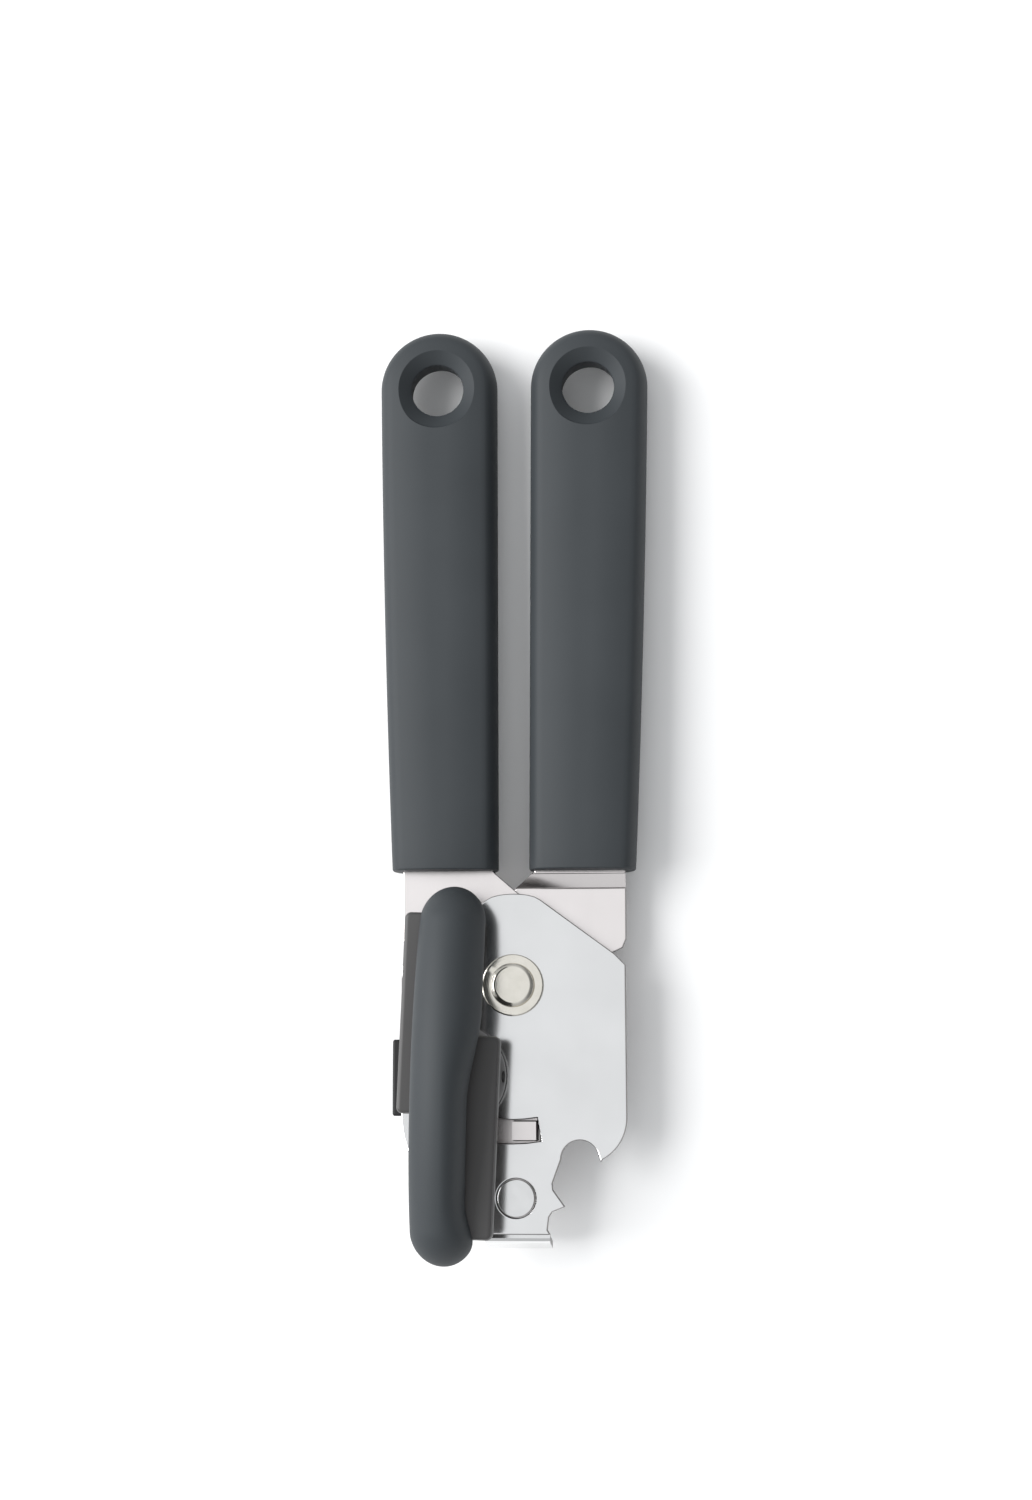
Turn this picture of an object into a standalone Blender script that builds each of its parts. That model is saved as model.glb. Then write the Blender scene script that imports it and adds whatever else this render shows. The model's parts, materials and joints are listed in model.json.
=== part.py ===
"""Manual can opener: two hinged arms with a cutting wheel, a feed wheel and a turning knob.

Dimensions are in millimetres and MM turns them into metres. The pieces are drawn in the pivot
frame: the handle pivot is at x = 0, y = 0, the handles run towards +Y and the knob rises
towards +Z. The empty called assembly carries that frame to its place in the world, where the
origin is the middle of the opener's underside.
"""
import math

import bmesh
import bpy

MM = 0.001
GAP = 0.3                      # space between pieces that touch on the real opener
RUNNING = 0.1                  # radial clearance of a turning fit

# Sheet steel, counted from the front: face plate, cutter plate, drive plate
SHEET = 1.6
CUTTER_TOP = 0.0
FACE_LOW = CUTTER_TOP + GAP
FACE_TOP = FACE_LOW + SHEET
CUTTER_LOW = CUTTER_TOP - SHEET
DRIVE_TOP = CUTTER_LOW - GAP
DRIVE_LOW = DRIVE_TOP - SHEET
BEND_IN = 0.4                  # inner radius of a folded edge
HEAD_HALF = 24.8               # half the width of the steel head

# Handle grips
GRIP_END = (17.1, 135.2)       # middle of the round end
GRIP_END_R = 13.25
GRIP_FOOT = 25.4               # where the grip stops and bare steel begins
GRIP_INNER = 3.4
GRIP_OUTER = 26.4
GRIP_THICK = 15.0
GRIP_MID_Z = CUTTER_LOW / 2
GRIP_EDGE = 5.6                # radius along the grip's long edges
HANG_HOLE_R = 5.9
HANG_DISH_R = 9.4
HANG_DISH_DEPTH = 2.2
TANG = (9.0, 21.0)             # the steel tongue inside each grip
TANG_END = 75.0
TANG_SHOULDER = 27.4

# Handle pivot
PIVOT_SHANK_R = 3.0
COLLAR_R = 4.0
COLLAR_FLANGE_R = 6.8
PIVOT_HEAD_R = 4.75
HANDLE_SWING = 20.0            # degrees that the handles open

# Knob, shaft and feed wheel, on one axis carried by the drive plate
KNOB_AXIS = (-12.7, -19.8)
KNOB_LEAN = -1.7               # degrees that the knob is turned at rest
SHAFT_R = 2.5
SHAFT_SLOT_HALF = 3.1
KNOB_HALF_LENGTH = 40.75
BAR_HALF = 7.35
BAR_LOW = 13.0
BAR_TOP = 30.0
WEB_OUT = 11.0
WEB_ENDS = (8.5, -34.8)
WEB_LOW = 12.0
WEB_TOP = 17.0
CORE_FREE_SIDE = 5.0
HUB_R = 11.4
HUB_LOW = FACE_TOP + 1.0
FEED_R = 6.3
FEED_TEETH = 22
FEED_Z = (-10.2, -5.6)

# Cutting wheel on its stud in the cutter plate
CUTTER_AXIS = (4.6, -20.0)
CUTTER_R = 10.0
STUD_R = 2.0
SPACER_R = 3.4

# Stop lug of the drive plate, and the flush rivet of the face plate
LUG_X = (-0.15, 5.1)
LUG_Y = (-33.8, -29.8)
LUG_TOP = FACE_TOP + 0.5
FACE_RIVET = (0.65, -46.4)
FACE_RIVET_R = 4.1

# Folded edges
GUIDE_FOLD = -54.2             # y of the fold at the end of the face plate
GUIDE_DEPTH = 6.0
PAD_FOLD = -22.6               # x of the fold at the drive plate's left edge
PAD_FLANGE_DEPTH = 6.5
PAD_Y = (-28.6, -11.75)
PAD_THICK = 2.3

# World place of the pivot frame: the box runs from the knob's low end to the grips' ends
LENGTH_Y = (KNOB_AXIS[1] - KNOB_HALF_LENGTH, GRIP_END[1] + GRIP_END_R)
LOWEST_Z = -12.2               # underside of the rest pad
PIVOT_PLACE = (0.0, -(LENGTH_Y[0] + LENGTH_Y[1]) / 2, -LOWEST_Z)


# ---------------------------------------------------------------- scene and materials

def clear_scene():
    for obj in list(bpy.data.objects):
        bpy.data.objects.remove(obj, do_unlink=True)


def new_collection(name):
    group = bpy.data.collections.new(name)
    bpy.context.scene.collection.children.link(group)
    return group


def principled(name, colour, roughness, metallic):
    material = bpy.data.materials.new(name)
    material.use_nodes = True
    shader = material.node_tree.nodes["Principled BSDF"]
    shader.inputs["Base Color"].default_value = (*colour, 1.0)
    shader.inputs["Roughness"].default_value = roughness
    shader.inputs["Metallic"].default_value = metallic
    material.diffuse_color = (*colour, 1.0)
    return material


SOFT_GREY = ((0.080, 0.088, 0.096), 0.55, 0.0)
CORE_GREY = ((0.062, 0.066, 0.070), 0.50, 0.0)
BLACK_NYLON = ((0.050, 0.050, 0.052), 0.45, 0.0)
POLISHED_STEEL = ((0.72, 0.72, 0.72), 0.16, 1.0)
SATIN_STEEL = ((0.66, 0.65, 0.65), 0.28, 1.0)
NICKEL = ((0.68, 0.65, 0.58), 0.20, 1.0)
TOOL_STEEL = ((0.55, 0.55, 0.56), 0.25, 1.0)


def finish_piece(obj, finish):
    """Give a finished piece its own material and hang it on the assembly."""
    obj.data.materials.clear()
    obj.data.materials.append(principled(obj.name, *finish))
    obj.parent = ASSEMBLY
    return obj


# ---------------------------------------------------------------- outlines

def arc(centre, radius, start, end, step=9.0):
    """Points on an arc from one angle to another, in degrees."""
    count = max(2, math.ceil(abs(end - start) / step))
    turns = [math.radians(start + (end - start) * i / count) for i in range(count + 1)]
    return [(centre[0] + radius * math.cos(t), centre[1] + radius * math.sin(t)) for t in turns]


def bow(start, end, depth, count=8):
    """Points between two ends, swung out to the right of the way by depth at the middle."""
    dx, dy = end[0] - start[0], end[1] - start[1]
    length = math.hypot(dx, dy)
    points = []
    for i in range(count + 1):
        t = i / count
        out = 4 * depth * t * (1 - t)
        points.append((start[0] + dx * t + out * dy / length, start[1] + dy * t - out * dx / length))
    return points


def circle(centre, radius, step=7.5):
    return arc(centre, radius, 0.0, 360.0, step)[:-1]


def rounded(corners, radius):
    """A polygon with each corner turned into an arc of the given radius."""
    points = []
    for i, corner in enumerate(corners):
        before, after = corners[i - 1], corners[(i + 1) % len(corners)]
        a = math.atan2(before[1] - corner[1], before[0] - corner[0])
        b = math.atan2(after[1] - corner[1], after[0] - corner[0])
        half = ((b - a + math.pi) % (2 * math.pi) - math.pi) / 2
        reach = radius / math.tan(abs(half))
        middle = (corner[0] + radius / math.sin(abs(half)) * math.cos(a + half),
                  corner[1] + radius / math.sin(abs(half)) * math.sin(a + half))
        first = (corner[0] + reach * math.cos(a), corner[1] + reach * math.sin(a))
        last = (corner[0] + reach * math.cos(b), corner[1] + reach * math.sin(b))
        turn = math.degrees(math.atan2(first[1] - middle[1], first[0] - middle[0]))
        stop = math.degrees(math.atan2(last[1] - middle[1], last[0] - middle[0]))
        stop = turn + (stop - turn + 180) % 360 - 180
        points += arc(middle, radius, turn, stop, 22.5)
    return points


def arc_slot(radius, half_width, start, end):
    """A slot along an arc about the pivot, with round ends."""
    ends = [(radius * math.cos(math.radians(a)), radius * math.sin(math.radians(a)))
            for a in (start, end)]
    outer = arc((0, 0), radius + half_width, start, end)
    far = arc(ends[1], half_width, end, end - 180, 22.5)
    inner = arc((0, 0), radius - half_width, end, start)
    near = arc(ends[0], half_width, start + 180, start, 22.5)
    return outer[:-1] + far[:-1] + inner[:-1] + near[:-1]


# ---------------------------------------------------------------- solids

def flat(name, outline, z_low, z_high, holes=(), group=None):
    """A flat piece cut from sheet: an outline with holes, given its thickness."""
    curve = bpy.data.curves.new(name + "_outline", "CURVE")
    curve.dimensions = "2D"
    curve.fill_mode = "BOTH"
    curve.extrude = (z_high - z_low) / 2 * MM
    for loop in [outline, *holes]:
        spline = curve.splines.new("POLY")
        spline.points.add(len(loop) - 1)
        for point, (x, y) in zip(spline.points, loop):
            point.co = (x * MM, y * MM, 0.0, 1.0)
        spline.use_cyclic_u = True
    drawn = bpy.data.objects.new(name + "_outline", curve)
    bpy.context.scene.collection.objects.link(drawn)
    evaluated = drawn.evaluated_get(bpy.context.evaluated_depsgraph_get())
    mesh = bpy.data.meshes.new_from_object(evaluated)
    bpy.data.objects.remove(drawn)
    mesh.name = name
    model = bmesh.new()
    model.from_mesh(mesh)
    bmesh.ops.remove_doubles(model, verts=model.verts, dist=1e-6)
    bmesh.ops.recalc_face_normals(model, faces=model.faces)
    if not holes:
        bmesh.ops.dissolve_limit(model, angle_limit=0.001, verts=model.verts, edges=model.edges)
    bmesh.ops.translate(model, verts=model.verts, vec=(0, 0, (z_low + z_high) / 2 * MM))
    model.to_mesh(mesh)
    model.free()
    return place(name, mesh, group)


def place(name, mesh, group=None):
    obj = bpy.data.objects.new(name, mesh)
    (group or PARTS).objects.link(obj)
    return obj


def turned(name, profile, at=(0.0, 0.0), steps=40, group=None):
    """A turned piece. The profile of (radius, z) runs down its outer side, top to bottom."""
    closed = profile[0][0] > 0
    mesh = bpy.data.meshes.new(name)
    model = bmesh.new()
    verts = [model.verts.new((r * MM, 0.0, z * MM)) for r, z in profile]
    for a, b in zip(verts, verts[1:] + verts[:1] if closed else verts[1:]):
        model.edges.new((a, b))
    model.to_mesh(mesh)
    model.free()
    obj = place(name, mesh, group)
    obj.location = (at[0] * MM, at[1] * MM, 0.0)
    screw = obj.modifiers.new("turn", "SCREW")
    screw.steps = screw.render_steps = steps
    screw.use_merge_vertices = True
    screw.merge_threshold = 1e-6
    screw.use_smooth_shade = True
    return obj


def ring(outer, inner, z_low, z_high, edge=0.12):
    """Profile of a ring with small chamfers on its outer edges."""
    return [(inner, z_high), (outer - edge, z_high), (outer, z_high - edge),
            (outer, z_low + edge), (outer - edge, z_low), (inner, z_low)]


def block(name, x, y, z, group=None):
    mesh = bpy.data.meshes.new(name)
    model = bmesh.new()
    bmesh.ops.create_cube(model, size=1.0)
    for vert in model.verts:
        vert.co = [(pair[0] + (pair[1] - pair[0]) * (c + 0.5)) * MM
                   for pair, c in zip((x, y, z), vert.co)]
    model.to_mesh(mesh)
    model.free()
    return place(name, mesh, group)


def soften(obj, width, segments=2, angle=40.0):
    bevel = obj.modifiers.new("soften", "BEVEL")
    bevel.width = width * MM
    bevel.segments = segments
    bevel.limit_method = "ANGLE"
    bevel.angle_limit = math.radians(angle)
    bevel.use_clamp_overlap = False
    return obj


def combine(obj, other, operation="DIFFERENCE"):
    """Cut the other solid away from obj, or join it on."""
    other.hide_render = True
    other.display_type = "WIRE"
    other.parent = obj.parent
    boolean = obj.modifiers.new(operation.lower(), "BOOLEAN")
    boolean.operation = operation
    boolean.solver = "EXACT"
    boolean.object = other
    return obj


def score(obj, axis, places):
    """Add edge loops across a mesh at the given places, so that it can bend there."""
    model = bmesh.new()
    model.from_mesh(obj.data)
    normal = [1.0 if i == axis else 0.0 for i in range(3)]
    for value in places:
        point = [value * MM if i == axis else 0.0 for i in range(3)]
        geometry = model.verts[:] + model.edges[:] + model.faces[:]
        bmesh.ops.bisect_plane(model, geom=geometry, plane_co=point, plane_no=normal, dist=1e-7)
    model.to_mesh(obj.data)
    model.free()


def fold_back(obj, axis, line, back, steps=4):
    """Fold the sheet beyond a line backwards by 90 degrees; line is a negative x or y."""
    neutral = BEND_IN + SHEET / 2
    run = neutral * math.pi / 2
    score(obj, axis, [line - run * i / steps for i in range(steps + 1)])
    centre_z = (back - BEND_IN) * MM
    for vert in obj.data.vertices:
        beyond = line * MM - vert.co[axis]
        if beyond <= 1e-8:
            continue
        radius = vert.co.z - centre_z
        angle = min(beyond / (neutral * MM), math.pi / 2)
        straight = max(0.0, beyond - run * MM)
        vert.co[axis] = line * MM - radius * math.sin(angle)
        vert.co.z = centre_z + radius * math.cos(angle) - straight


# ---------------------------------------------------------------- grips

def grip_outline(side):
    """Round end, bowed outer side and a foot that is longer than the finished grip."""
    foot = GRIP_FOOT - 9.0
    cx, cy = GRIP_END
    right = bow((GRIP_OUTER, foot), (cx + GRIP_END_R, cy - 2.0), 0.55)
    end = arc((cx, cy), GRIP_END_R, 0.0, 180.0, 10.0)
    points = right + end + [(GRIP_INNER, foot)]
    return [(side * x, y) for x, y in points]


def grip(side, name):
    low, high = GRIP_MID_Z - GRIP_THICK / 2, GRIP_MID_Z + GRIP_THICK / 2
    body = flat(name, grip_outline(side), low, high)
    soften(body, GRIP_EDGE, 5)
    wide = (side * 17 - 20, side * 17 + 20)
    combine(body, block(name + "_foot_cut", wide, (GRIP_FOOT - 12, GRIP_FOOT), (-20, 20), CUTTERS))
    hole = [(0, high + 1), (HANG_DISH_R + 0.6, high + 1), (HANG_DISH_R, high),
            (HANG_HOLE_R + 1.2, high - HANG_DISH_DEPTH), (HANG_HOLE_R, high - HANG_DISH_DEPTH - 1.2),
            (HANG_HOLE_R, low + HANG_DISH_DEPTH + 1.2), (HANG_HOLE_R + 1.2, low + HANG_DISH_DEPTH),
            (HANG_DISH_R, low), (HANG_DISH_R + 0.6, low - 1), (0, low - 1)]
    centre = (side * GRIP_END[0], GRIP_END[1] - 0.8)
    combine(body, turned(name + "_hole_cut", hole, centre, 40, CUTTERS))
    thick = (CUTTER_LOW - GAP, CUTTER_TOP + GAP)
    tang = sorted((side * (TANG[0] - GAP), side * (TANG[1] + GAP)))
    mouth = sorted((side * (GRIP_INNER + 0.8), side * (HEAD_HALF + GAP)))
    combine(body, block(name + "_tang_cut", tang, (GRIP_FOOT - 2, TANG_END + GAP), thick, CUTTERS))
    combine(body, block(name + "_mouth_cut", mouth, (GRIP_FOOT - 1, TANG_SHOULDER + GAP), thick,
                        CUTTERS))
    return finish_piece(body, SOFT_GREY)


# ---------------------------------------------------------------- steel plates

def shaft_slot():
    """Clearance for the knob shaft as the handles open."""
    radius = math.hypot(*KNOB_AXIS)
    rest = math.degrees(math.atan2(*KNOB_AXIS[::-1])) + 360
    return arc_slot(radius, SHAFT_SLOT_HALF, rest, rest - HANDLE_SWING)


def lug_slot():
    """Arc window that the stop lug travels in; its right end is the closed stop."""
    inner, outer = -LUG_Y[1] - 0.4, math.hypot(LUG_X[1], LUG_Y[0]) + 0.4
    right = math.degrees(math.atan2(LUG_Y[0], LUG_X[1] + 1.0))
    left = math.degrees(math.atan2(LUG_Y[1], LUG_X[0])) - HANDLE_SWING - 0.8
    return arc((0, 0), outer, right, left, 6.0) + arc((0, 0), inner, left, right, 6.0)


def head_hump(radius):
    """Round top of the head, eased into the two straight shoulders."""
    top = arc((0, 0), radius, 99.0, 81.0, 3.6)
    ease = [(0.238 * radius, 0.966 * radius), (0.297 * radius, 0.933 * radius)]
    return [(-x, y) for x, y in ease[::-1]] + top + ease


def face_plate():
    """Front cover with the bottle opener on its right side and a folded rim guide at its end."""
    corner = (-4.55, -28.5)
    flange_end = GUIDE_FOLD - (BEND_IN + SHEET / 2) * math.pi / 2 - GUIDE_DEPTH
    outline = head_hump(20.2) + [(22.3, 6.9), (HEAD_HALF, 4.4)]
    outline += arc((14.8, -29.0), 10.2, 0, -62, 5.0) + [(19.2, -38.6)]
    outline += arc((14.65, -37.95), 4.15, 13, 180)
    outline += [(8.6, -43.2), (8.75, -44.6), (11.35, -48.2), (8.6, -49.3), (7.85, -50.4),
                (7.5, -53.2), (8.1, GUIDE_FOLD), (8.1, flange_end), (-6.2, flange_end),
                (-6.2, GUIDE_FOLD), (-5.8, -53.2)]
    outline += arc(corner, 20.2, 265, 180, 5) + [(-HEAD_HALF, 4.4), (-22.3, 6.9)]
    holes = [circle((0, 0), COLLAR_R + GAP), circle(FACE_RIVET, FACE_RIVET_R + 0.2),
             shaft_slot(), lug_slot()]
    plate = flat("face_plate", outline, FACE_LOW, FACE_TOP, holes)
    fold_back(plate, 1, GUIDE_FOLD, FACE_LOW)
    return finish_piece(plate, POLISHED_STEEL)


def cutter_plate():
    """Left arm's plate, behind the face plate, with its tang in the left grip."""
    left = -HEAD_HALF
    outline = [(left, TANG_SHOULDER), (left, 10.0)]
    outline += [(left + 0.6, 8.9), (-24.2, -28.5)] + arc((-4.55, -28.5), 19.65, 180, 262, 9)
    outline += [(-5.3, -51.6), (6.6, -51.6), (7.0, -43.0), (9.0, -38.0), (10.5, -33.5),
                (21.5, -28.0), (24.0, -24.0), (24.0, 4.0), (22.0, 6.2)]
    outline += head_hump(19.8)[::-1][:2] + [(1.0, 20.4), (-4.1, 24.8), (-4.6, 25.6)]
    outline += [(-4.6, TANG_SHOULDER), (-TANG[0], TANG_SHOULDER), (-TANG[0], TANG_END),
                (-TANG[1], TANG_END), (-TANG[1], TANG_SHOULDER)]
    holes = [circle((0, 0), COLLAR_R + GAP), circle(CUTTER_AXIS, SPACER_R - 0.5 + GAP),
             circle(FACE_RIVET, 2.5 + GAP, 15), shaft_slot(), lug_slot(),
             circle((-15.0, 62.0), 3.0, 15)]
    plate = flat("cutter_plate", outline, CUTTER_LOW, CUTTER_TOP, holes)
    return finish_piece(plate, SATIN_STEEL)


def drive_plate():
    """Right arm's plate: stepped back behind the cutter plate, it carries the knob shaft."""
    flange_end = PAD_FOLD - (BEND_IN + SHEET / 2) * math.pi / 2 - PAD_FLANGE_DEPTH
    step_low, step_high = 21.7, 24.7
    outline = [(TANG[1], TANG_SHOULDER), (TANG[1], TANG_END), (TANG[0], TANG_END),
               (TANG[0], TANG_SHOULDER), (4.5, TANG_SHOULDER), (4.5, 25.2), (3.9, step_high),
               (0.3, step_low), (-6.0, 14.0)]
    outline += arc((0, 0), 9.0, 140, 205) + [(-20.0, -8.5)]
    outline += [(PAD_FOLD, PAD_Y[1] - 0.6), (flange_end, PAD_Y[1] - 0.6),
                (flange_end, PAD_Y[0] + 0.6), (PAD_FOLD, PAD_Y[0] + 0.6)]
    outline += [(-20.0, -30.5), (-12.0, -34.2), (-4.0, -35.0), (5.8, -34.6), (5.8, -29.0),
                (-1.0, -26.0), (-1.0, -12.0), (9.0, -4.5), (21.8, 7.3)]
    outline += [(HEAD_HALF - 0.8, 8.4), (HEAD_HALF, 10.3), (HEAD_HALF, TANG_SHOULDER)]
    holes = [circle((0, 0), COLLAR_R + RUNNING), circle(KNOB_AXIS, 3.8, 12),
             circle((15.0, 62.0), 3.0, 15)]
    plate = flat("drive_plate", outline, DRIVE_LOW, DRIVE_TOP, holes)
    fold_back(plate, 0, PAD_FOLD, DRIVE_LOW)
    score(plate, 1, [step_low, step_high])
    for vert in plate.data.vertices:
        share = (vert.co.y / MM - step_low) / (step_high - step_low)
        vert.co.z += min(max(share, 0.0), 1.0) * (CUTTER_TOP - DRIVE_TOP) * MM
    lug = block("stop_lug_blank", LUG_X, LUG_Y, (DRIVE_LOW + SHEET / 2, LUG_TOP), CUTTERS)
    combine(plate, lug, "UNION")
    return finish_piece(plate, SATIN_STEEL)


# ---------------------------------------------------------------- pivot and rivets

def pivot():
    flange_low = FACE_TOP + GAP
    flange_top = flange_low + 0.9
    collar = [(PIVOT_SHANK_R + RUNNING, flange_top - 0.5), (COLLAR_FLANGE_R - 1.0, flange_top),
              (COLLAR_FLANGE_R - 0.2, flange_top), (COLLAR_FLANGE_R, flange_top - 0.3),
              (COLLAR_FLANGE_R, flange_low), (COLLAR_R, flange_low), (COLLAR_R, DRIVE_LOW),
              (PIVOT_SHANK_R + RUNNING, DRIVE_LOW)]
    finish_piece(turned("pivot_collar", collar), NICKEL)
    washer_top = DRIVE_LOW - GAP
    finish_piece(turned("pivot_washer", ring(6.4, PIVOT_SHANK_R + GAP, washer_top - 0.8,
                                             washer_top)), TOOL_STEEL)
    head_low = flange_top + 0.1
    tail_top = washer_top - 0.8 - GAP
    rivet = [(0, head_low + 1.5), (PIVOT_HEAD_R - 0.8, head_low + 1.5),
             (PIVOT_HEAD_R, head_low + 0.9), (PIVOT_HEAD_R, head_low), (PIVOT_SHANK_R, head_low),
             (PIVOT_SHANK_R, tail_top), (5.0, tail_top), (5.0, tail_top - 0.7),
             (3.6, tail_top - 1.5), (0, tail_top - 1.5)]
    finish_piece(turned("pivot_rivet", rivet), NICKEL)


def face_rivet():
    tail = CUTTER_LOW - GAP
    rivet = [(0, FACE_TOP), (FACE_RIVET_R, FACE_TOP), (FACE_RIVET_R, FACE_LOW), (2.5, FACE_LOW),
             (2.5, tail), (4.0, tail), (4.0, tail - 0.7), (3.2, tail - 1.2), (0, tail - 1.2)]
    finish_piece(turned("face_rivet", rivet, FACE_RIVET), SATIN_STEEL)


# ---------------------------------------------------------------- knob, shaft and feed wheel

def turn_with_knob(obj):
    """Put a piece drawn about the knob axis in its place, turned as the knob is at rest."""
    obj.location = (KNOB_AXIS[0] * MM, KNOB_AXIS[1] * MM, 0.0)
    obj.rotation_euler = (0, 0, math.radians(KNOB_LEAN))
    return obj


def both_halves(points):
    return points + [(-x, -y) for x, y in points]


def bar_outline():
    """Long grip bar: straight on its free sides, pulled in where the thumb web joins it."""
    end = (0.0, BAR_HALF - KNOB_HALF_LENGTH)
    halves = []
    for sign, waist in ((1, -1.9), (-1, -0.3)):
        half = arc(end, BAR_HALF, 180, 350, 11)[:-1]
        half += bow((BAR_HALF - 0.1, end[1] + 0.8), (BAR_HALF, WEB_ENDS[0]), waist)
        halves += [(sign * x, sign * y) for x, y in half]
    return halves


def core_outline(grow=0.0):
    """S-shaped core: a spine inside the bar and a web that stands out on each side."""
    near, far = WEB_ENDS[0] + grow, WEB_ENDS[1] - grow
    free = CORE_FREE_SIDE + grow
    half = [(WEB_OUT - 0.5 + grow, far), (WEB_OUT + grow, near), (free, near), (free, -far)]
    return both_halves(half)


def knob():
    cover = turn_with_knob(flat("knob_cover", bar_outline(), BAR_LOW, BAR_TOP))
    soften(cover, 5.2, 5)
    room = flat("core_room", rounded(core_outline(GAP), 1.2), BAR_LOW - 2, WEB_TOP + GAP,
                group=CUTTERS)
    combine(cover, turn_with_knob(room))
    finish_piece(cover, SOFT_GREY)

    core = turn_with_knob(flat("knob_core", rounded(core_outline(), 1.3), WEB_LOW, WEB_TOP))
    soften(core, 1.0, 2)
    hub = [(0, WEB_LOW + 1.5), (9.6, WEB_LOW + 1.5), (HUB_R - 0.6, 9.0), (HUB_R, 7.0),
           (HUB_R, HUB_LOW + 0.4), (HUB_R - 0.4, HUB_LOW), (0, HUB_LOW)]
    combine(core, turned("hub_blank", hub, KNOB_AXIS, 48, CUTTERS), "UNION")
    bore = [(0, 14.6), (SHAFT_R + GAP, 14.6), (SHAFT_R + GAP, 0), (0, 0)]
    combine(core, turned("shaft_bore", bore, KNOB_AXIS, 32, CUTTERS))
    pin_hole = turned("pin_hole", [(0, 13.2), (1.3, 13.2), (1.3, -13.2), (0, -13.2)], KNOB_AXIS,
                      16, CUTTERS)
    lay_pin(pin_hole)
    combine(core, pin_hole)
    finish_piece(core, CORE_GREY)
    pin = turned("knob_pin", [(0, 10.4), (1.0, 10.4), (1.0, -10.4), (0, -10.4)], KNOB_AXIS, 16)
    finish_piece(lay_pin(pin), TOOL_STEEL)


def lay_pin(obj):
    """Lay a pin across the shaft through the hub."""
    obj.location = (KNOB_AXIS[0] * MM, KNOB_AXIS[1] * MM, 7.5 * MM)
    obj.rotation_euler = (math.radians(90), 0, math.radians(90 + KNOB_LEAN))
    return obj


def drive_line():
    """Shaft with its bush, washers and feed wheel, all on the knob's axis."""
    wheel_low, wheel_top = FEED_Z
    shaft = [(0, 14.2), (SHAFT_R - 0.3, 14.2), (SHAFT_R, 13.8), (SHAFT_R, wheel_top + 0.2),
             (2.0, wheel_top + 0.2), (2.0, wheel_low - GAP), (3.2, wheel_low - GAP),
             (3.2, wheel_low - 0.9), (2.4, wheel_low - 1.3), (0, wheel_low - 1.3)]
    shaft = turned("drive_shaft", shaft, KNOB_AXIS, 32)
    pin_hole = turned("shaft_pin_hole", [(0, 4.0), (1.3, 4.0), (1.3, -4.0), (0, -4.0)],
                      KNOB_AXIS, 16, CUTTERS)
    combine(shaft, lay_pin(pin_hole))
    finish_piece(shaft, TOOL_STEEL)

    bush = [(SHAFT_R + RUNNING, DRIVE_TOP - 0.1), (3.5, DRIVE_TOP - 0.1), (3.5, DRIVE_LOW - GAP),
            (5.2, DRIVE_LOW - GAP), (5.2, DRIVE_LOW - 1.0), (SHAFT_R + RUNNING, DRIVE_LOW - 1.0)]
    finish_piece(turned("shaft_bush", bush, KNOB_AXIS, 32), NICKEL)
    finish_piece(turned("feed_washer", ring(5.0, SHAFT_R + GAP, -5.3, -4.8), KNOB_AXIS, 32),
                 TOOL_STEEL)
    finish_piece(turned("knob_washer", ring(8.0, SHAFT_R + GAP, FACE_TOP + GAP,
                                            HUB_LOW - GAP), KNOB_AXIS, 32), NICKEL)
    teeth = []
    for i in range(FEED_TEETH):
        for share, radius in ((0.0, FEED_R - 0.9), (0.35, FEED_R), (0.65, FEED_R)):
            turn = 2 * math.pi * (i + share) / FEED_TEETH
            teeth.append((radius * math.cos(turn), radius * math.sin(turn)))
    wheel = flat("feed_wheel", teeth, wheel_low, wheel_top, [circle((0, 0), 2.0 + GAP, 11.25)])
    finish_piece(turn_with_knob(wheel), TOOL_STEEL)


# ---------------------------------------------------------------- cutting wheel

def cutter():
    """Free-running cutting wheel with its stud, spacer and spring washer."""
    spacer_low = -5.2
    wheel_top, wheel_low = -6.2, -8.0
    wheel = [(STUD_R + RUNNING, wheel_top), (4.2, wheel_top), (4.4, wheel_top - 0.3),
             (CUTTER_R - 1.9, wheel_top - 0.3), (CUTTER_R, wheel_top - 0.85),
             (CUTTER_R, wheel_top - 0.95), (CUTTER_R - 1.9, wheel_low + 0.3), (4.4, wheel_low + 0.3),
             (4.2, wheel_low), (STUD_R + RUNNING, wheel_low)]
    finish_piece(turned("cutter_wheel", wheel, CUTTER_AXIS, 56), TOOL_STEEL)
    tail = wheel_low - GAP
    stud = [(0, CUTTER_TOP), (2.9, CUTTER_TOP), (2.9, CUTTER_LOW), (STUD_R, CUTTER_LOW),
            (STUD_R, tail), (3.6, tail), (3.6, tail - 0.7), (2.8, tail - 1.2), (0, tail - 1.2)]
    finish_piece(turned("cutter_stud", stud, CUTTER_AXIS, 32), TOOL_STEEL)
    spacer_top = CUTTER_LOW - GAP
    finish_piece(turned("cutter_spacer", ring(SPACER_R, STUD_R + GAP, spacer_low, spacer_top),
                        CUTTER_AXIS, 32), SATIN_STEEL)
    finish_piece(turned("cutter_spring_washer", ring(SPACER_R, STUD_R + GAP, spacer_low - 0.7,
                                                     spacer_low - GAP), CUTTER_AXIS, 32),
                 TOOL_STEEL)


# ---------------------------------------------------------------- rest pad

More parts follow.
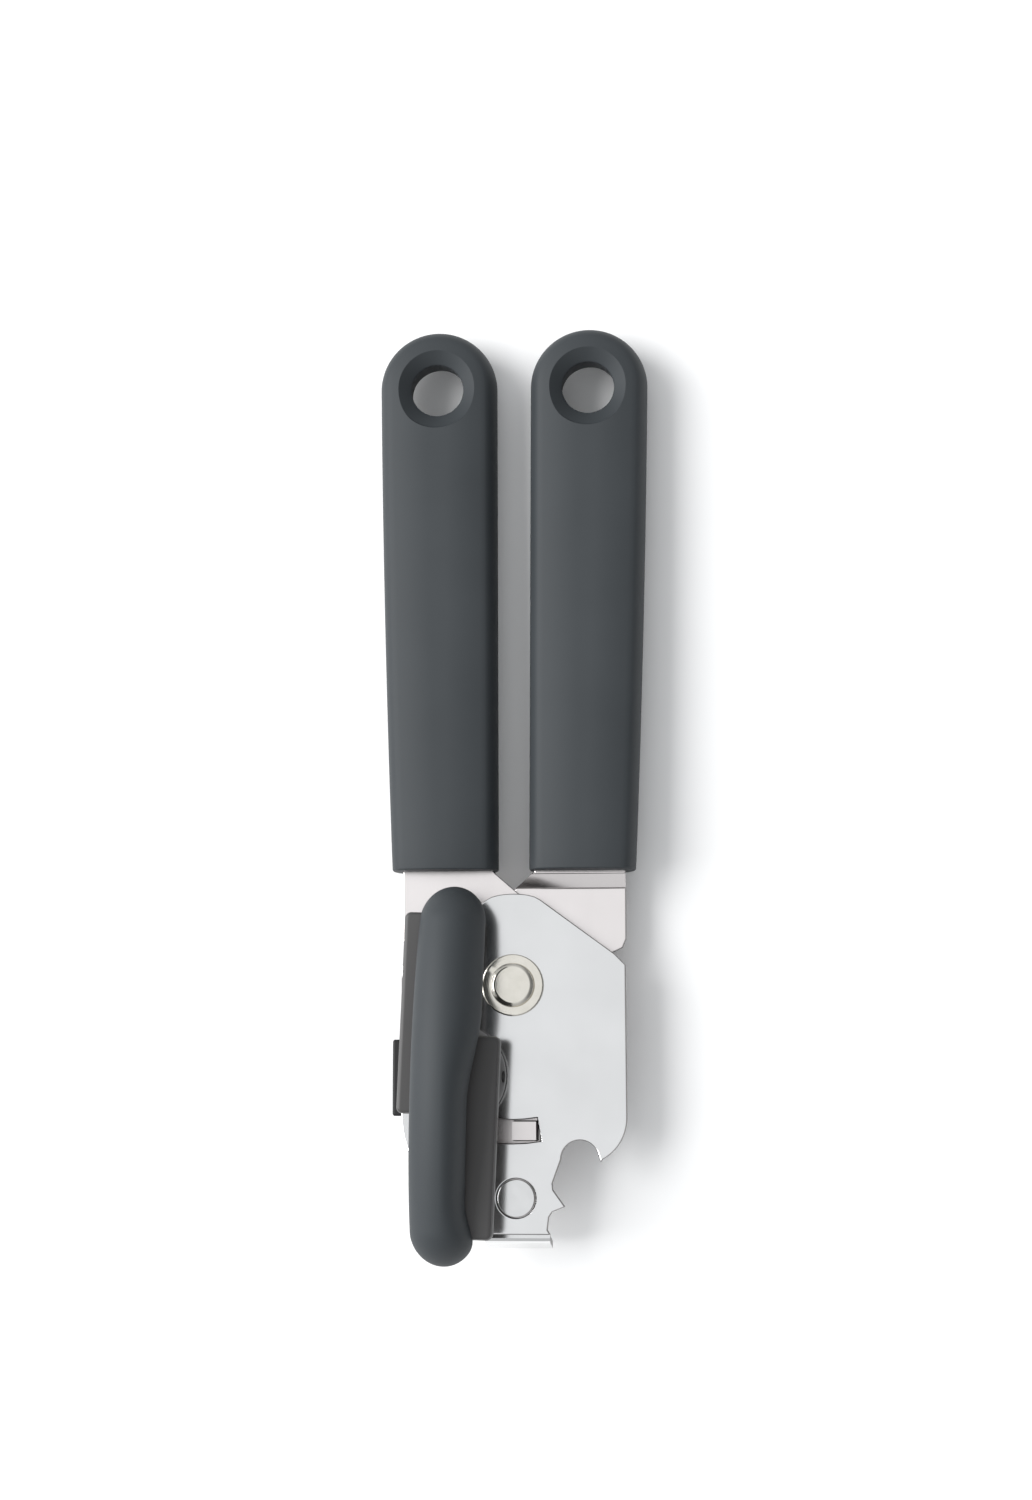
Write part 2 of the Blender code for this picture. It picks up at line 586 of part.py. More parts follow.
def rest_pad():
    """Black pad pushed over the drive plate's folded edge, where the can's side leans."""
    face = PAD_FOLD - BEND_IN - SHEET
    inner = face + SHEET
    flange_low = DRIVE_LOW - BEND_IN - PAD_FLANGE_DEPTH
    outside = (face - GAP - PAD_THICK, inner + GAP + 1.2)
    pad = block("rest_pad", outside, PAD_Y, (LOWEST_Z, DRIVE_TOP - 0.2))
    soften(pad, 0.35, 1)
    slot = block("pad_slot", (face - GAP, inner + GAP), (PAD_Y[0] - 1, PAD_Y[1] + 1),
                 (flange_low - GAP, 5), CUTTERS)
    back = block("pad_back", (inner, inner + 6), (PAD_Y[0] - 1, PAD_Y[1] + 1), (-7.0, 5), CUTTERS)
    combine(combine(pad, slot), back)
    return finish_piece(pad, BLACK_NYLON)


clear_scene()
PARTS = new_collection("can_opener")
CUTTERS = new_collection("cutters")
ASSEMBLY = bpy.data.objects.new("assembly", None)
ASSEMBLY.location = [value * MM for value in PIVOT_PLACE]
PARTS.objects.link(ASSEMBLY)

grip(-1, "left_grip")
grip(1, "right_grip")
face_plate()
cutter_plate()
drive_plate()
pivot()
face_rivet()
knob()
drive_line()
cutter()
rest_pad()
for hidden in CUTTERS.objects:
    hidden.parent = ASSEMBLY
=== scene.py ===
import math

import bpy
from mathutils import Matrix, Vector
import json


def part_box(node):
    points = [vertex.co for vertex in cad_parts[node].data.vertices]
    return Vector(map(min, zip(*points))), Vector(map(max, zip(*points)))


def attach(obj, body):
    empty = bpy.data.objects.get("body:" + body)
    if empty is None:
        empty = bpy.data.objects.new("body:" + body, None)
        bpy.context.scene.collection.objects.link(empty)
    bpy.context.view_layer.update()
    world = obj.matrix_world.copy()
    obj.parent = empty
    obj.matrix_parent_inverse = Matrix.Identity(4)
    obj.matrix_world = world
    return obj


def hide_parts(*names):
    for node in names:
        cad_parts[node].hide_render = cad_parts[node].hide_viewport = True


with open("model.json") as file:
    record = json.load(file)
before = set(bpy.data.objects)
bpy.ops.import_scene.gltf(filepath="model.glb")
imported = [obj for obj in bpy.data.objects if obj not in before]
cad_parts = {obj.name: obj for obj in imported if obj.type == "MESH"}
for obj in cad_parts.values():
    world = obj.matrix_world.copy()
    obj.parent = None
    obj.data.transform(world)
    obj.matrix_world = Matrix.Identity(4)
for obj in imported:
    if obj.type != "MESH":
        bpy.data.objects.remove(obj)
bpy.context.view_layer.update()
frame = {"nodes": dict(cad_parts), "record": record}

MM = 0.001
NEAR = 1e-6                            # metres within which two places are the same
LEVEL_NEAR = 3e-6                      # the same for the height of a CAD face

JOINTS = {joint["name"]: joint for joint in frame["record"]["behaviour"]["joints"]}
PIVOT = Vector(JOINTS["handle_hinge"]["pos_m"])
KNOB = Vector(JOINTS["knob_spin"]["pos_m"])
CUTTER = Vector(JOINTS["cutter_spin"]["pos_m"])
KNOB_LEAN = math.radians(-1.7)         # how the knob is turned at rest


# ---------------------------------------------------------------- selecting and editing

def deselect():
    if bpy.context.mode != "OBJECT":
        bpy.ops.object.mode_set(mode="OBJECT")
    bpy.ops.object.select_all(action="DESELECT")


def activate(obj):
    deselect()
    obj.select_set(True)
    bpy.context.view_layer.objects.active = obj


def select_verts(obj, test):
    """Select the vertices that pass a test on their place, then go into edit mode."""
    activate(obj)
    bpy.ops.object.mode_set(mode="EDIT")
    bpy.ops.mesh.select_mode(type="VERT")
    bpy.ops.mesh.select_all(action="DESELECT")
    bpy.ops.object.mode_set(mode="OBJECT")
    for vert in obj.data.vertices:
        vert.select = bool(test(vert.co))
    bpy.ops.object.mode_set(mode="EDIT")


def select_edges(obj, test):
    """Select the edges whose two ends pass a test, then go into edit mode."""
    activate(obj)
    bpy.ops.object.mode_set(mode="EDIT")
    bpy.ops.mesh.select_mode(type="EDGE")
    bpy.ops.mesh.select_all(action="DESELECT")
    bpy.ops.object.mode_set(mode="OBJECT")
    verts = obj.data.vertices
    for edge in obj.data.edges:
        edge.select = bool(test(verts[edge.vertices[0]].co, verts[edge.vertices[1]].co))
    bpy.ops.object.mode_set(mode="EDIT")


def object_mode():
    bpy.ops.object.mode_set(mode="OBJECT")


def apply_place(obj):
    activate(obj)
    bpy.ops.object.transform_apply(location=True, rotation=True, scale=True)


def tidy_normals(obj):
    activate(obj)
    bpy.ops.object.mode_set(mode="EDIT")
    bpy.ops.mesh.select_all(action="SELECT")
    bpy.ops.mesh.remove_doubles(threshold=1e-7)
    bpy.ops.mesh.normals_make_consistent(inside=False)
    object_mode()


def cut_across(obj, point, normal, clear_outer=False):
    """Cut a mesh by a plane; with clear_outer the far side goes and the cut is closed."""
    activate(obj)
    bpy.ops.object.mode_set(mode="EDIT")
    bpy.ops.mesh.select_all(action="SELECT")
    bpy.ops.mesh.bisect(plane_co=point, plane_no=normal, use_fill=clear_outer,
                        clear_outer=clear_outer, threshold=1e-7)
    object_mode()


def with_modifier(obj, kind, **settings):
    """Add a modifier with its settings and apply it."""
    activate(obj)
    modifier = obj.modifiers.new(kind.lower(), kind)
    for key, value in settings.items():
        setattr(modifier, key, value)
    bpy.ops.object.modifier_apply(modifier=modifier.name)


def cut_out(obj, tool):
    """Cut another solid out of a piece; the other one is used up."""
    with_modifier(obj, "BOOLEAN", operation="DIFFERENCE", solver="EXACT", object=tool)
    bpy.data.objects.remove(tool, do_unlink=True)


def round_edges(obj, width):
    with_modifier(obj, "BEVEL", width=width * MM, segments=3, limit_method="ANGLE",
                  angle_limit=math.radians(35), use_clamp_overlap=True)


def smooth(obj, angle):
    activate(obj)
    bpy.ops.object.shade_smooth_by_angle(angle=math.radians(angle))


def finish_piece(obj, name, node, material):
    """Name a finished piece, give it its material and let it ride in its CAD node's stead."""
    obj.name = name
    obj.data.name = name
    obj.data.materials.clear()
    obj.data.materials.append(material)
    body = next(b for b, nodes in frame["record"]["behaviour"]["bodies"].items() if node in nodes)
    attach(obj, body)
    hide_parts(node)


# ---------------------------------------------------------------- materials

def linear(hex_colour):
    """An sRGB hex value as a linear colour."""
    parts = [int(hex_colour[i:i + 2], 16) / 255 for i in (0, 2, 4)]
    return tuple(c / 12.92 if c <= 0.04045 else ((c + 0.055) / 1.055) ** 2.4 for c in parts) + (1.0,)


def add(tree, kind, settings=None, **links):
    """Add a shader node with its settings and its incoming links."""
    node = tree.nodes.new("ShaderNode" + kind)
    for key, value in (settings or {}).items():
        if key in node.inputs:
            node.inputs[key].default_value = value
        else:
            setattr(node, key, value)
    for key, source in links.items():
        tree.links.new(source, node.inputs[key.replace("_", " ")])
    return node


def new_material(name, **sockets):
    """A material with one Principled shader; sockets holds what is the same all over."""
    material = bpy.data.materials.new(name)
    material.use_nodes = True
    shader = material.node_tree.nodes["Principled BSDF"]
    for key, value in sockets.items():
        shader.inputs[key.replace("_", " ")].default_value = value
    return material, material.node_tree, shader


def mix_colours(tree, low, high, factor):
    ramp = add(tree, "ValToRGB", Fac=factor)
    ramp.color_ramp.elements[0].color = linear(low)
    ramp.color_ramp.elements[1].color = linear(high)
    ramp.color_ramp.elements[0].position = 0.3
    ramp.color_ramp.elements[1].position = 0.7
    return ramp.outputs["Color"]


def spread(tree, factor, low, high):
    return add(tree, "MapRange", {"To Min": low, "To Max": high}, Value=factor).outputs["Result"]


def soft_touch():
    """Soft-touch elastomer over polypropylene, moulded against a fine eroded tool: matte slate
    grey with a soft sheen, a grain of about 0.25 mm and faint handling bloom."""
    material, tree, shader = new_material("soft_touch_elastomer", IOR=1.46, Specular_IOR_Level=0.35)
    place = add(tree, "TexCoord").outputs["Object"]
    bloom = add(tree, "TexNoise", {"Scale": 45.0, "Detail": 3.0}, Vector=place)
    grain = add(tree, "TexNoise", {"Scale": 4000.0, "Detail": 2.0, "Roughness": 0.6}, Vector=place)
    colour = mix_colours(tree, "303437", "34383b", bloom.outputs["Fac"])
    tree.links.new(colour, shader.inputs["Base Color"])
    tree.links.new(spread(tree, bloom.outputs["Fac"], 0.56, 0.64), shader.inputs["Roughness"])
    bump = add(tree, "Bump", {"Strength": 0.22, "Distance": 0.00003}, Height=grain.outputs["Fac"])
    tree.links.new(bump.outputs["Normal"], shader.inputs["Normal"])
    return material


def core_plastic():
    """Polypropylene of the knob's core: harder and a little glossier than the soft bar, with a
    spark-eroded grain of about 0.3 mm."""
    material, tree, shader = new_material("core_polypropylene", IOR=1.49)
    place = add(tree, "TexCoord").outputs["Object"]
    bloom = add(tree, "TexNoise", {"Scale": 60.0, "Detail": 2.0}, Vector=place)
    grain = add(tree, "TexNoise", {"Scale": 3300.0, "Detail": 2.0}, Vector=place)
    colour = mix_colours(tree, "373636", "3b3a3a", bloom.outputs["Fac"])
    tree.links.new(colour, shader.inputs["Base Color"])
    tree.links.new(spread(tree, bloom.outputs["Fac"], 0.40, 0.48), shader.inputs["Roughness"])
    bump = add(tree, "Bump", {"Strength": 0.2, "Distance": 0.00003}, Height=grain.outputs["Fac"])
    tree.links.new(bump.outputs["Normal"], shader.inputs["Normal"])
    return material


def rolled_steel(name, low, high, rough, stretch, strength):
    """Stainless steel with fine lines from rolling, polishing or shearing, over a faint cloudiness.
    stretch draws the lines out along one axis. They run from about 1 mm wide down to 0.15 mm,
    coarser than real ones so that they show."""
    material, tree, shader = new_material(name, Metallic=1.0)
    place = add(tree, "TexCoord").outputs["Object"]
    along = add(tree, "Mapping", {"Scale": stretch}, Vector=place).outputs["Vector"]
    lines = add(tree, "TexNoise", {"Scale": 900.0, "Detail": 3.0}, Vector=along)
    cloud = add(tree, "TexNoise", {"Scale": 70.0, "Detail": 3.0}, Vector=place)
    colour = mix_colours(tree, low, high, cloud.outputs["Fac"])
    tree.links.new(colour, shader.inputs["Base Color"])
    tree.links.new(spread(tree, lines.outputs["Fac"], *rough), shader.inputs["Roughness"])
    bump = add(tree, "Bump", {"Strength": strength, "Distance": 0.00001},
               Height=lines.outputs["Fac"])
    tree.links.new(bump.outputs["Normal"], shader.inputs["Normal"])
    return material


def turned_metal(name, low, high, rough, centre, strength=0.15):
    """Turned or ground metal: concentric tool marks about a centre, about 0.3 mm apart, which is
    coarser than real ones so that they show."""
    material, tree, shader = new_material(name, Metallic=1.0)
    place = add(tree, "TexCoord").outputs["Object"]
    shifted = add(tree, "Mapping", {"Location": tuple(-c for c in centre)}, Vector=place)
    rings = add(tree, "TexWave", {"wave_type": "RINGS", "rings_direction": "Z", "Scale": 1000.0,
                                  "Distortion": 1.5, "Detail": 2.0},
                Vector=shifted.outputs["Vector"])
    cloud = add(tree, "TexNoise", {"Scale": 300.0, "Detail": 3.0}, Vector=place)
    colour = mix_colours(tree, low, high, cloud.outputs["Fac"])
    tree.links.new(colour, shader.inputs["Base Color"])
    tree.links.new(spread(tree, rings.outputs["Fac"], *rough), shader.inputs["Roughness"])
    bump = add(tree, "Bump", {"Strength": strength, "Distance": 0.00001},
               Height=rings.outputs["Fac"])
    tree.links.new(bump.outputs["Normal"], shader.inputs["Normal"])
    return material


def black_nylon():
    """Glass-filled nylon, moulded: near black with a dull satin skin and a fine spark grain."""
    material, tree, shader = new_material("moulded_nylon", IOR=1.53, Specular_IOR_Level=0.3)
    place = add(tree, "TexCoord").outputs["Object"]
    grain = add(tree, "TexNoise", {"Scale": 2500.0, "Detail": 2.0}, Vector=place)
    colour = mix_colours(tree, "131314", "18181a", grain.outputs["Fac"])
    tree.links.new(colour, shader.inputs["Base Color"])
    tree.links.new(spread(tree, grain.outputs["Fac"], 0.42, 0.55), shader.inputs["Roughness"])
    bump = add(tree, "Bump", {"Strength": 0.25, "Distance": 0.00004}, Height=grain.outputs["Fac"])
    tree.links.new(bump.outputs["Normal"], shader.inputs["Normal"])
    return material


SOFT = soft_touch()
CORE = core_plastic()
NYLON = black_nylon()
FACE = rolled_steel("mirror_stainless", "dedede", "e4e4e4", (0.10, 0.16), (1.0, 0.04, 1.0), 0.02)
PLATE = rolled_steel("satin_stainless", "e0dbda", "e6e1e0", (0.20, 0.28), (1.0, 0.04, 1.0), 0.03)
PIVOT_NICKEL = turned_metal("warm_nickel", "dedad0", "e6e2d9", (0.12, 0.2), PIVOT)
KNOB_NICKEL = turned_metal("nickel_bush", "d0ccc2", "dad6cc", (0.15, 0.25), KNOB)
RIVET_STEEL = turned_metal("flush_rivet_steel", "dadada", "e0e0e0", (0.1, 0.16),
                           PIVOT + Vector((0.65, -46.4, 0)) * MM, 0.05)
DRIVE_STEEL = turned_metal("hardened_drive_steel", "a9a9ab", "b8b8b9", (0.2, 0.32), KNOB)
BLADE_STEEL = turned_metal("ground_blade_steel", "b9babc", "c8c9ca", (0.12, 0.24), CUTTER)
# cut edges: rougher, duller steel whose dark grey base colour is mostly painted shade, standing in
# for the dark lines along the plates' edges
DULL_EDGE_PAINTED_SHADE = rolled_steel("sheared_edge_painted_shade", "7c7a79", "8e8c8b", (0.34, 0.46), (1.0, 1.0, 0.3), 0.25)
WASHER_STEEL = turned_metal("spring_steel", "a5a6a8", "b2b3b4", (0.2, 0.35), PIVOT)


# ---------------------------------------------------------------- grips

GRIP_END_R = 13.25
GRIP_MIDDLE = 17.1                     # middle of the round end, from the middle plane
END_POINTS = 144                       # points round the circle that the grip starts from
FOOT_ROUND = 0.5                       # rounding of the edge round the foot
GRIP_SPARE = 20.0                      # made this much longer, then cut off square at the foot
GRIP_BOW = 0.55                        # how far the outer side bulges at mid length
STATIONS = 10                          # lengths into which a side is divided for the bow
FOOT_INNER, FOOT_OUTER = 3.35, 26.25   # the sides at the spare end, from the middle plane
EDGE_WIDE, EDGE_TALL = 3.2, 5.9        # elliptical rounding of the long edges
EDGE_STEPS = 9
EDGE_TURN = 77.0                       # degrees of that ellipse before the crown takes over
CROWN_REACH, CROWN_STEPS = 11.2, 9     # the crown ends this far in from the side
CROWN_SLOPE = 17.0                     # degrees, easing to nothing at the middle
HOLE_FROM_END = 0.8                    # how far the hole sits below the end's own centre
# the hanging hole opens out below, is narrow in the middle and dished above
HOLE = ((11.0, -9.0), (10.4, -7.6), (9.2, -6.4), (7.4, -4.7), (6.7, -3.7), (6.3, -2.0), (5.95, 3.0),
        (5.85, 3.9), (5.95, 4.35), (6.3, 4.7), (8.8, 6.45), (9.15, 6.75), (9.35, 7.2), (9.5, 9.0))


def grip_section():
    """The section's upper half as (distance in from the side, height over the middle)."""
    points = []
    for step in range(1, EDGE_STEPS + 1):
        turn = math.radians(EDGE_TURN) * step / EDGE_STEPS
        points.append((EDGE_WIDE * (1 - math.cos(turn)), EDGE_TALL * math.sin(turn)))
    inward, height = points[-1]
    stride = (CROWN_REACH - inward) / CROWN_STEPS
    for step in range(CROWN_STEPS):
        slope = CROWN_SLOPE * (1 - (step + 0.5) / CROWN_STEPS)
        inward += stride
        height += stride * math.tan(math.radians(slope))
        points.append((inward, height))
    return points


def grip(node, side):
    """Soft grip: round end, bowed outer side, crowned section and a dished hanging hole."""
    low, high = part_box(node)
    middle_z = (low.z + high.z) / 2
    end = Vector((PIVOT.x + side * GRIP_MIDDLE * MM, high.y - GRIP_END_R * MM, middle_z))
    length = end.y - low.y + GRIP_SPARE * MM
    deselect()
    bpy.ops.mesh.primitive_circle_add(vertices=END_POINTS, radius=GRIP_END_R * MM, fill_type="NGON",
                                      location=end)
    body = bpy.context.object
    # the low half of the circle becomes the square spare end
    width = (FOOT_OUTER - FOOT_INNER) / (2 * GRIP_END_R)
    foot_x = PIVOT.x + side * (FOOT_OUTER + FOOT_INNER) / 2 * MM
    select_verts(body, lambda p: p.y < -0.01 * MM)
    bpy.ops.transform.resize(value=(width, 0, 1), center_override=(end.x, end.y - length, end.z))
    bpy.ops.transform.translate(value=(foot_x - end.x, 0, 0))
    object_mode()
    foot_line = [vert.co.x for vert in body.data.vertices if vert.co.y < -length / 2]
    left, right = min(foot_line), max(foot_line)
    select_verts(body, lambda p: p.y < -length / 2 and left + NEAR < p.x < right - NEAR)
    bpy.ops.mesh.dissolve_verts()
    object_mode()
    # the long sides get stations, and the outer one its bow
    select_edges(body, lambda a, b: abs(a.y - b.y) > length / 2)
    bpy.ops.mesh.subdivide(number_cuts=STATIONS - 1)
    object_mode()
    for station in range(1, STATIONS):
        share = station / STATIONS
        at = -length * share
        select_verts(body, lambda p: abs(p.y - at) < 2e-4 and side * p.x > 0)
        bow = 4 * GRIP_BOW * share * (1 - share)
        bpy.ops.transform.translate(value=(side * bow * MM, 0, 0))
        object_mode()
    # rounded edge and crown, one inset after another
    activate(body)
    bpy.ops.object.mode_set(mode="EDIT")
    bpy.ops.mesh.select_all(action="SELECT")
    at = (0.0, 0.0)
    for inward, height in grip_section():
        bpy.ops.mesh.inset(thickness=(inward - at[0]) * MM, depth=(height - at[1]) * MM)
        at = (inward, height)
    object_mode()
    with_modifier(body, "MIRROR", use_axis=(False, False, True), merge_threshold=NEAR)
    apply_place(body)
    cut_across(body, (0, low.y, 0), (0, -1, 0), clear_outer=True)
    tidy_normals(body)
    select_edges(body, lambda a, b: abs(a.y - low.y) < NEAR and abs(b.y - low.y) < NEAR)
    bpy.ops.mesh.bevel(offset=FOOT_ROUND * MM, segments=3, affect="EDGES")
    object_mode()
    hole_place = Vector((end.x, end.y - HOLE_FROM_END * MM, middle_z))
    cut_out(body, turned(HOLE, hole_place, 96))
    smooth(body, 28)
    finish_piece(body, "grip_" + ("left" if side < 0 else "right"), node, SOFT)


# ---------------------------------------------------------------- turned shapes

def turned(profile, centre, vertices):
    """A turned solid from its profile of (radius, height), lowest first, about an upright axis."""
    deselect()
    radius, height = profile[0]
    bpy.ops.mesh.primitive_circle_add(vertices=vertices, radius=radius * MM, fill_type="NGON",
                                      location=centre + Vector((0, 0, height * MM)))
    solid = bpy.context.object
    bpy.ops.object.mode_set(mode="EDIT")
    bpy.ops.mesh.select_all(action="SELECT")
    for next_radius, next_height in profile[1:]:
        bpy.ops.mesh.extrude_region_move()
        bpy.ops.transform.translate(value=(0, 0, (next_height - height) * MM))
        grow = next_radius / radius
        bpy.ops.transform.resize(value=(grow, grow, 1), center_override=centre)
        radius, height = next_radius, next_height
    object_mode()
    apply_place(solid)
    tidy_normals(solid)
    return solid


# ---------------------------------------------------------------- turning knob

BAR_HALF, BAR_WIDE, BAR_TALL = 40.7, 7.38, 7.6
BAR_FOOT = 13.0                        # the flat underside, above the pivot's own level
BAR_MIDDLE, BAR_DROP = 22.3, 8.6       # level of the widest place, and its fall to the ends
BAR_SPLIT = 0.05                       # cuts this far beside the middle, to draw the halves apart
BAR_TAPER = 0.08                       # share of its width that the bar loses at the ends
BAR_STATIONS, STATION_GAP = 15, 2.2    # cross-sections each side of the middle, and their spacing
WAIST_PULL = 2.6                       # the flank that is pulled in beside the lower web
WAIST_TOP, WAIST_TOP_EASE = 14.0, 20.0      # where the pull starts above, and its run to full
WAIST_FOOT, WAIST_FOOT_EASE = -38.0, 11.0   # the same below
RING_NEAR = 0.006                      # millimetres within which points lie on one section


def knob_bar():
    """The soft bar: a capsule, arched lengthwise, flat below, one flank pulled in by the web."""
    deselect()
    bpy.ops.mesh.primitive_uv_sphere_add(segments=48, ring_count=36, radius=BAR_WIDE * MM,
                                         rotation=(math.pi / 2, 0, 0))
    bar = bpy.context.object
    apply_place(bar)
    reach = (BAR_HALF - BAR_WIDE) * MM
    for sign in (1, -1):
        cut_across(bar, (0, sign * BAR_SPLIT * MM, 0), (0, 1, 0))
        select_verts(bar, lambda p: sign * p.y > BAR_SPLIT / 2 * MM)
        bpy.ops.transform.translate(value=(0, sign * reach, 0))
        object_mode()
    for station in range(-BAR_STATIONS, BAR_STATIONS + 1):
        cut_across(bar, (0, station * STATION_GAP * MM, 0), (0, 1, 0))
    select_verts(bar, lambda p: True)
    bpy.ops.transform.resize(value=(1, 1, BAR_TALL / BAR_WIDE), center_override=(0, 0, 0))
    object_mode()
    rings = sorted({round(v.co.y / MM, 2) for v in bar.data.vertices})
    for ring in rings:
        along = ring / BAR_HALF
        level = BAR_MIDDLE - BAR_DROP * along * along
        pull = WAIST_PULL * waist_share(ring)
        narrow = 1 - BAR_TAPER * abs(along) ** 3
        select_verts(bar, lambda p: abs(p.y / MM - ring) < RING_NEAR)
        bpy.ops.transform.resize(value=(narrow, 1, 1), center_override=(0, 0, 0))
        bpy.ops.transform.translate(value=(0, 0, level * MM))
        object_mode()
        if pull > 0.01:
            select_verts(bar, lambda p: abs(p.y / MM - ring) < RING_NEAR and p.x > 0)
            bpy.ops.transform.resize(value=(1 - pull / BAR_WIDE, 1, 1), center_override=(0, 0, 0))
            object_mode()
    cut_across(bar, (0, 0, BAR_FOOT * MM), (0, 0, -1), clear_outer=True)
    tidy_normals(bar)
    smooth(bar, 40)
    with_modifier(bar, "WEIGHTED_NORMAL", keep_sharp=True)
    set_on_knob_axis(bar)
    finish_piece(bar, "knob_bar", "knob_cover", SOFT)


def waist_share(along):
    """How much of the pull the flank has at a place along the bar: eased in and out."""
    above = min(max((WAIST_TOP - along) / WAIST_TOP_EASE, 0.0), 1.0)
    below = min(max((along - WAIST_FOOT) / WAIST_FOOT_EASE, 0.0), 1.0)
    ease = min(above, below)
    return ease * ease * (3 - 2 * ease)


def set_on_knob_axis(obj):
    """Lean a piece made about the knob's own axis and set it on that axis."""
    obj.rotation_euler = (0, 0, KNOB_LEAN)
    obj.location = (KNOB.x, KNOB.y, PIVOT.z)
    apply_place(obj)


# ---------------------------------------------------------------- pieces from their CAD solids

FLAT = math.radians(0.6)               # triangles that meet at less than this are one face
CUT_EDGE = 0.62                        # faces whose normal rises less than this are a cut edge
END_LEAN = 1.3                         # how far the foot of the folded end stands proud
END_FOOT = -6.0                        # the folded end's foot lies lower than this
END_OUTSIDE = -55.0                    # its outer face lies beyond this, along the plate
FACE_RIM = ((0.18, 0.37), (0.12, 0.03))     # rings of an eased rim: width, rise
ARM_RIM = ((0.15, 0.22), (0.12, 0.03))


def solid_copy(node):
    """A copy of a CAD solid with its loose triangles merged."""
    deselect()
    piece = frame["nodes"][node].copy()
    piece.data = piece.data.copy()
    bpy.context.scene.collection.objects.link(piece)
    activate(piece)
    bpy.ops.mesh.customdata_custom_splitnormals_clear()
    bpy.ops.object.mode_set(mode="EDIT")
    bpy.ops.mesh.select_all(action="SELECT")
    bpy.ops.mesh.remove_doubles(threshold=2 * NEAR)
    object_mode()
    return piece


def refined(node, name, material, edge):
    """A clean copy of a CAD solid with rounded edges and smooth turned faces."""
    piece = solid_copy(node)
    bpy.ops.object.mode_set(mode="EDIT")
    bpy.ops.mesh.dissolve_limited(angle_limit=FLAT)
    object_mode()
    round_edges(piece, edge)
    smooth(piece, 32)
    with_modifier(piece, "WEIGHTED_NORMAL", keep_sharp=True)
    finish_piece(piece, name, node, material)


def ease_rim(piece, level, rings):
    """Ease the rim of the upward face at a level, as a press tool leaves it: its triangles are
    joined, the face is lowered, and each ring rises inwards until the face is level again. The
    underside keeps the sharp edge that shearing gives."""
    activate(piece)
    bpy.ops.object.mode_set(mode="EDIT")
    bpy.ops.mesh.select_mode(type="FACE")
    bpy.ops.mesh.select_all(action="DESELECT")
    object_mode()
    for poly in piece.data.polygons:
        poly.select = abs(poly.center.z - level) < LEVEL_NEAR and poly.normal.z > 0.999
    bpy.ops.object.mode_set(mode="EDIT")
    bpy.ops.mesh.dissolve_limited(angle_limit=FLAT)
    bpy.ops.transform.translate(value=(0, 0, -sum(rise for width, rise in rings) * MM))
    for width, rise in rings:
        bpy.ops.mesh.inset(thickness=width * MM, depth=rise * MM)
    object_mode()


def lean_folded_end(piece):
    """The face plate's folded end leans outwards a little, so its face shows from above."""
    foot = PIVOT.z + END_FOOT * MM
    select_verts(piece, lambda p: p.z < foot)
    bpy.ops.transform.translate(value=(0, -END_LEAN * MM, 0))
    object_mode()


def pressed_plate(node, name, material, levels, rings):
    """A stamped plate: the CAD solid with the rims of its upper faces eased and its cut edge, which
    the press tool leaves rougher and a little duller, in a finish of its own. Most of that finish's
    dark grey is painted shade, standing in for the dark lines along the plates' edges."""
    piece = solid_copy(node)
    for level in levels:
        ease_rim(piece, PIVOT.z + level * MM, rings)
    if node == "face_plate":
        lean_folded_end(piece)
    smooth(piece, 6)
    finish_piece(piece, name, node, material)
    # the cut-edge faces take the dark edge finish, whose darkness is painted shade
    piece.data.materials.append(DULL_EDGE_PAINTED_SHADE)
    for poly in piece.data.polygons:
        if abs(poly.normal.z) < CUT_EDGE and not folded_end(node, poly):
            poly.material_index = 1


def folded_end(node, poly):
    """The outer face of the face plate's folded end is polished like the front."""
    outside = PIVOT.y + END_OUTSIDE * MM
    return node == "face_plate" and poly.normal.y < -0.7 and poly.center.y < outside


# ---------------------------------------------------------------- build

deselect()
grip("left_grip", -1)
grip("right_grip", 1)
pressed_plate("face_plate", "face_plate_polished", FACE,
              (1.9,), FACE_RIM)
pressed_plate("cutter_plate", "cutter_plate_satin", PLATE,
              (0.0,), ARM_RIM)
pressed_plate("drive_plate", "drive_plate_satin", PLATE,
              (0.0, -1.9), ARM_RIM)
refined("pivot_collar", "pivot_collar_ring", PIVOT_NICKEL, 0.12)
refined("pivot_rivet", "pivot_rivet_button", PIVOT_NICKEL, 0.2)
refined("pivot_washer", "pivot_washer_steel", WASHER_STEEL, 0.08)
refined("face_rivet", "face_rivet_flush", RIVET_STEEL, 0.22)
refined("drive_shaft", "drive_shaft_turned", DRIVE_STEEL, 0.1)
refined("shaft_bush", "shaft_bush_turned", KNOB_NICKEL, 0.1)
refined("feed_washer", "feed_washer_steel", DRIVE_STEEL, 0.05)
refined("feed_wheel", "feed_wheel_toothed", DRIVE_STEEL, 0.08)
refined("knob_washer", "knob_washer_steel", KNOB_NICKEL, 0.05)
refined("knob_core", "knob_core_webs", CORE, 0.3)
knob_bar()
refined("knob_pin", "knob_cross_pin", DRIVE_STEEL, 0.1)
refined("cutter_wheel", "cutting_wheel_ground", BLADE_STEEL, 0.03)
refined("cutter_stud", "cutter_stud_riveted", BLADE_STEEL, 0.1)
refined("cutter_spacer", "cutter_spacer_sleeve", PLATE, 0.08)
refined("cutter_spring_washer", "cutter_spring_washer_steel", WASHER_STEEL, 0.04)
refined("rest_pad", "rest_pad_moulded", NYLON, 0.2)


# ---------------------------------------------------------------- floor, light and camera

